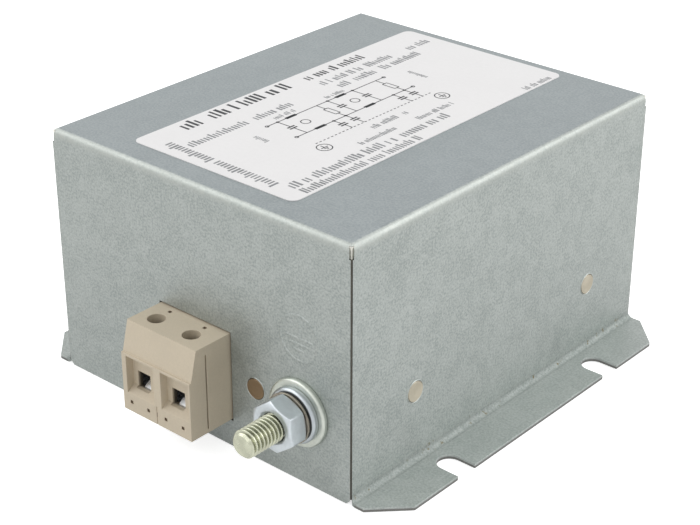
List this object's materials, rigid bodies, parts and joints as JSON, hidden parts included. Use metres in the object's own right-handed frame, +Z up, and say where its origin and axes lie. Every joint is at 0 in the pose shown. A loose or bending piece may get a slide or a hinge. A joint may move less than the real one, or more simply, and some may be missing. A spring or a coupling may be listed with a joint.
{
  "type": "emi line filter",
  "caption": "Box-shaped two-stage mains filter in a folded sheet-steel case with slotted flanges, a screw terminal block and an earth stud at each end.",
  "frame": {"origin": "centre of the underside, on the surface that the flanges are fixed to", "axes": "+X across the flanges, +Y from the line end to the load end, +Z up to the label"},
  "size_m": [0.1048, 0.133, 0.0576],
  "materials": {
    "galvanised_sheet": "hot-dip galvanised, satin, fine mottled grain",
    "rivet_steel": "plain satin",
    "label_film": "white film, grey print",
    "block_plastic": "grey-beige moulded, satin",
    "terminal_metal": "nickel plated",
    "tinned_copper": "tinned",
    "yellow_zinc": "zinc plated, yellow-green passivated",
    "blue_zinc": "zinc plated, bluish, bright",
    "spring_steel": "phosphated and oiled",
    "board_laminate": "glass-fibre laminate with green coating",
    "natural_nylon": "natural",
    "liner_film": "polyester film",
    "capacitor_case": "moulded box",
    "small_case": "moulded box",
    "resistor_coating": "lacquered",
    "ferrite": "sintered, dark grey",
    "enamelled_copper": "enamelled wire",
    "fibre_board": "insulating board",
    "base_plastic": "moulded"
  },
  "bodies": {
    "root": {"housing_cover": "galvanised_sheet", "base_pan": "galvanised_sheet", "cover_rivets": "rivet_steel", "rating_label": "label_film", "circuit_board": "board_laminate", "board_posts": "natural_nylon", "insulating_liner": "liner_film", "y_capacitors": "capacitor_case", "small_y_capacitors": "small_case", "discharge_resistor": "resistor_coating", "x_capacitor_line": "capacitor_case", "x_capacitor_middle": "capacitor_case", "x_capacitor_load": "capacitor_case", "line_terminal_block": "block_plastic", "load_terminal_block": "block_plastic", "wire_clamps": "terminal_metal", "clamp_screws": "terminal_metal", "busbars": "tinned_copper", "earth_studs": "yellow_zinc", "large_washers": "yellow_zinc", "small_washers": "blue_zinc", "lock_washers": "spring_steel", "earth_nuts": "blue_zinc", "choke_cores": "ferrite", "choke_windings": "enamelled_copper", "choke_dividers": "fibre_board", "choke_bases": "base_plastic"}
  },
  "joints": []
}
